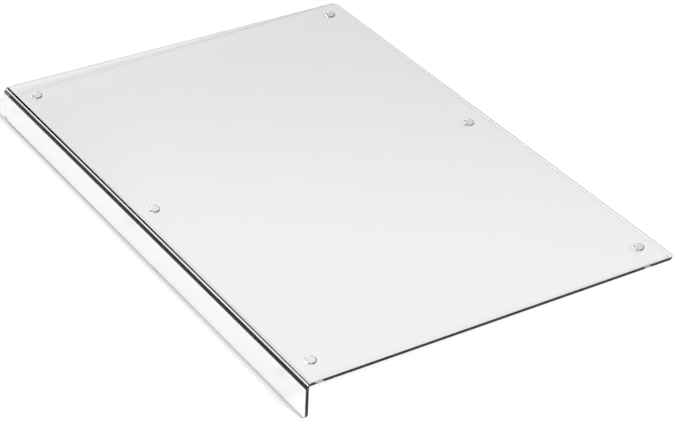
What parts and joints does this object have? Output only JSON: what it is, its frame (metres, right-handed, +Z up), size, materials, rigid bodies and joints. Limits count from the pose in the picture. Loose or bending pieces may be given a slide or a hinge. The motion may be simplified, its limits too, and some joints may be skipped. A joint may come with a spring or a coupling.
{
  "type": "countertop cutting board with front lip",
  "caption": "Clear flat board bent from one acrylic sheet, with a front lip that hooks over a counter edge and clear bumper feet underneath.",
  "frame": {"origin": "the counter's front top edge: the middle of the lip's inner face, level with the soles of the feet", "axes": "+X along the lip, to the right as seen from in front of the counter; +Y back over the counter; +Z up, out of the work face"},
  "size_m": [0.61, 0.4195, 0.0395],
  "materials": {
    "acrylic": "clear cast acrylic, polished faces and polished cut edges",
    "bumper": "clear soft polyurethane, smooth and slightly hazy",
    "adhesive": "clear pressure sensitive adhesive"
  },
  "bodies": {
    "root": {"board": "acrylic", "foot_front_left": "bumper", "foot_front_middle": "bumper", "foot_front_right": "bumper", "foot_back_left": "bumper", "foot_back_middle": "bumper", "foot_back_right": "bumper", "adhesive_front_left": "adhesive", "adhesive_front_middle": "adhesive", "adhesive_front_right": "adhesive", "adhesive_back_left": "adhesive", "adhesive_back_middle": "adhesive", "adhesive_back_right": "adhesive"}
  },
  "joints": []
}
